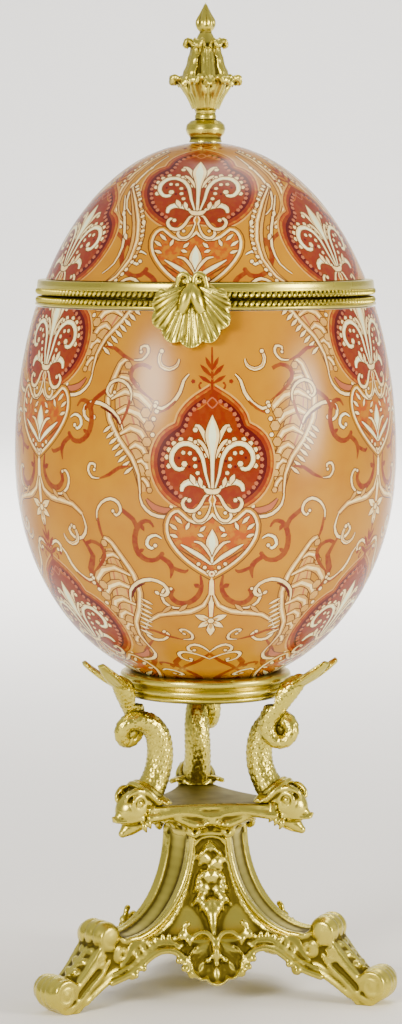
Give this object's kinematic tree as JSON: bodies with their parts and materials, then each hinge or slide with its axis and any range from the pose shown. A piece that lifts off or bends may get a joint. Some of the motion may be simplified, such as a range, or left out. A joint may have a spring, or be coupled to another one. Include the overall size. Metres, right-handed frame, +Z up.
{
  "type": "egg trinket box on stand",
  "caption": "Egg-shaped porcelain trinket box with a hinged lid, brass mounts and a brass stand of coiled dolphins on a tripod base.",
  "frame": {"origin": "on the floor, under the egg's axis", "axes": "+Z up, -Y towards the shell clasp at the front, +X to the right of a viewer who faces the clasp"},
  "size_m": [0.1477, 0.1502, 0.3796],
  "materials": {
    "brass": "cast and polished, with dark recesses",
    "painted_porcelain": "painted and gloss glazed"
  },
  "bodies": {
    "stand": {"stand_base": "brass", "dolphin_right": "brass", "dolphin_back": "brass", "dolphin_left": "brass", "support_ring": "brass", "bowl_shell": "painted_porcelain", "bowl_rim": "brass", "hinge_bowl_leaf": "brass", "hinge_pin": "brass"},
    "lid": {"lid_shell": "painted_porcelain", "lid_rim": "brass", "hinge_lid_leaf": "brass", "clasp_shell": "brass", "finial": "brass"}
  },
  "joints": [
    {"name": "lid_hinge", "type": "hinge", "parent": "stand", "child": "lid", "pos_m": [0, 0.069, 0.269], "axis": [-1, 0, 0], "range_deg": [0, 100]}
  ]
}
